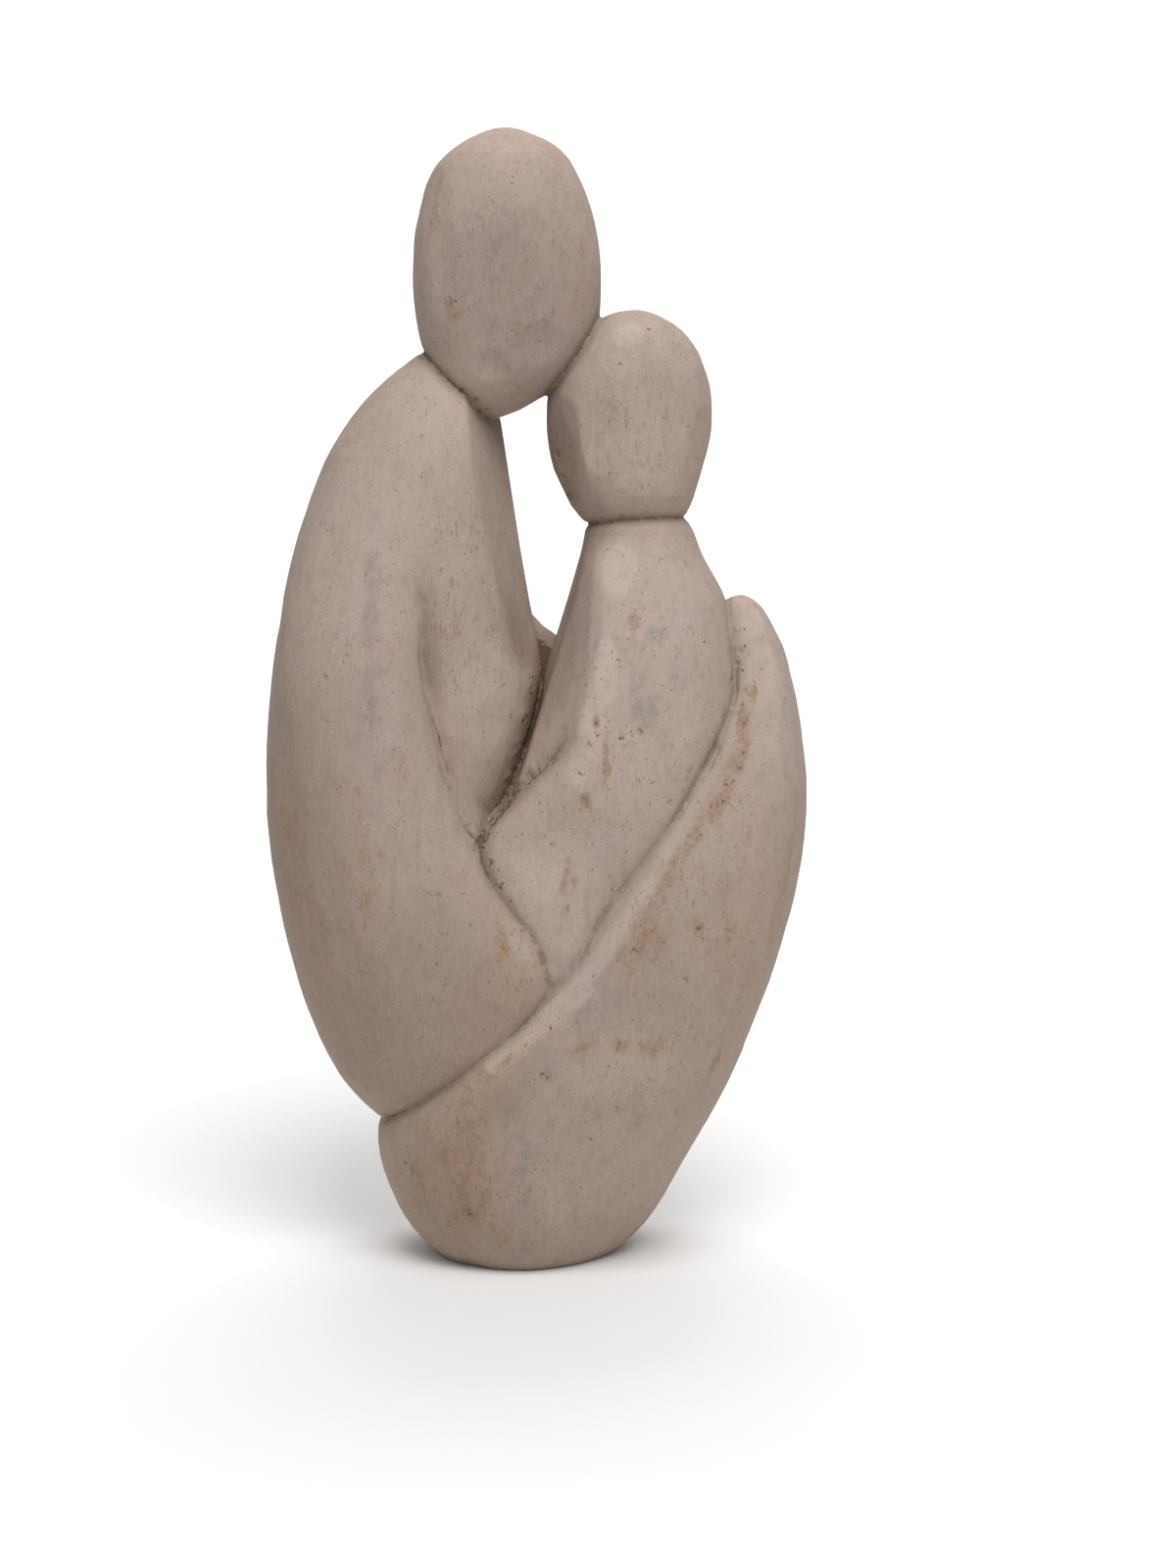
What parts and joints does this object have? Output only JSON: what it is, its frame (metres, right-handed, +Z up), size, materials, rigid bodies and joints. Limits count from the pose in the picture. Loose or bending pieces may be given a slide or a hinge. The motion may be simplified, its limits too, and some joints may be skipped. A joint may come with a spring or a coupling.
{
  "type": "parent and child sculpture",
  "caption": "Abstract carving of a faceless parent holding a child, cut from one block of pale limewashed wood, with an open gap between the figures and a flat foot.",
  "frame": {"origin": "centre of the flat underside that the carving stands on", "axes": "+Z up through the taller figure's head, +X towards the child's side as the viewer sees it, -Y towards the viewer of the picture"},
  "size_m": [0.1923, 0.1004, 0.4],
  "materials": {
    "limewashed_wood": "matt worn limewash over pale open-pored wood"
  },
  "bodies": {
    "root": {"parent_and_child": "limewashed_wood"}
  },
  "joints": []
}
